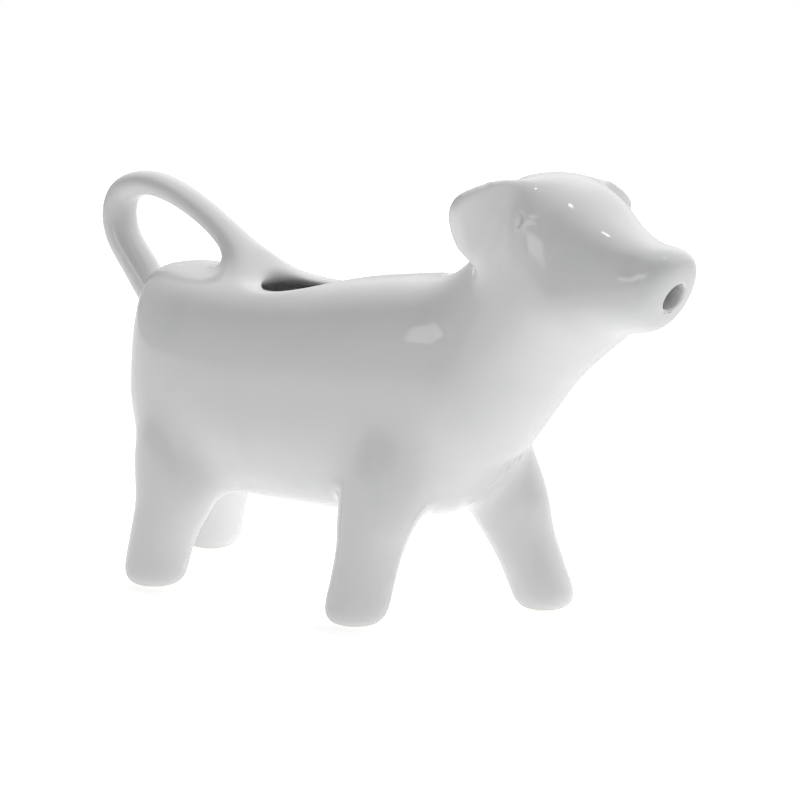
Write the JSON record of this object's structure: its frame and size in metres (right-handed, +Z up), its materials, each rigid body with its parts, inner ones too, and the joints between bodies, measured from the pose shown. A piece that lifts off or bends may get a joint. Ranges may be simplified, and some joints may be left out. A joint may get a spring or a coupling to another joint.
{
  "type": "cow creamer",
  "caption": "Small white glazed porcelain milk jug shaped as a walking cow: filled through an oval hole in the back, poured from the mouth, held by the looped tail.",
  "frame": {"origin": "on the ground under the middle of the whole creamer's box", "axes": "+X from the tail towards the nose, +Y towards the cow's left side, +Z up"},
  "size_m": [0.1666, 0.0607, 0.0995],
  "materials": {
    "glaze": "clear gloss glaze over white porcelain"
  },
  "bodies": {
    "root": {"trunk_shell": "glaze", "head_shell": "glaze", "left_ear": "glaze", "right_ear": "glaze", "left_front_leg": "glaze", "right_front_leg": "glaze", "left_hind_leg": "glaze", "right_hind_leg": "glaze", "tail_handle": "glaze"}
  },
  "joints": []
}
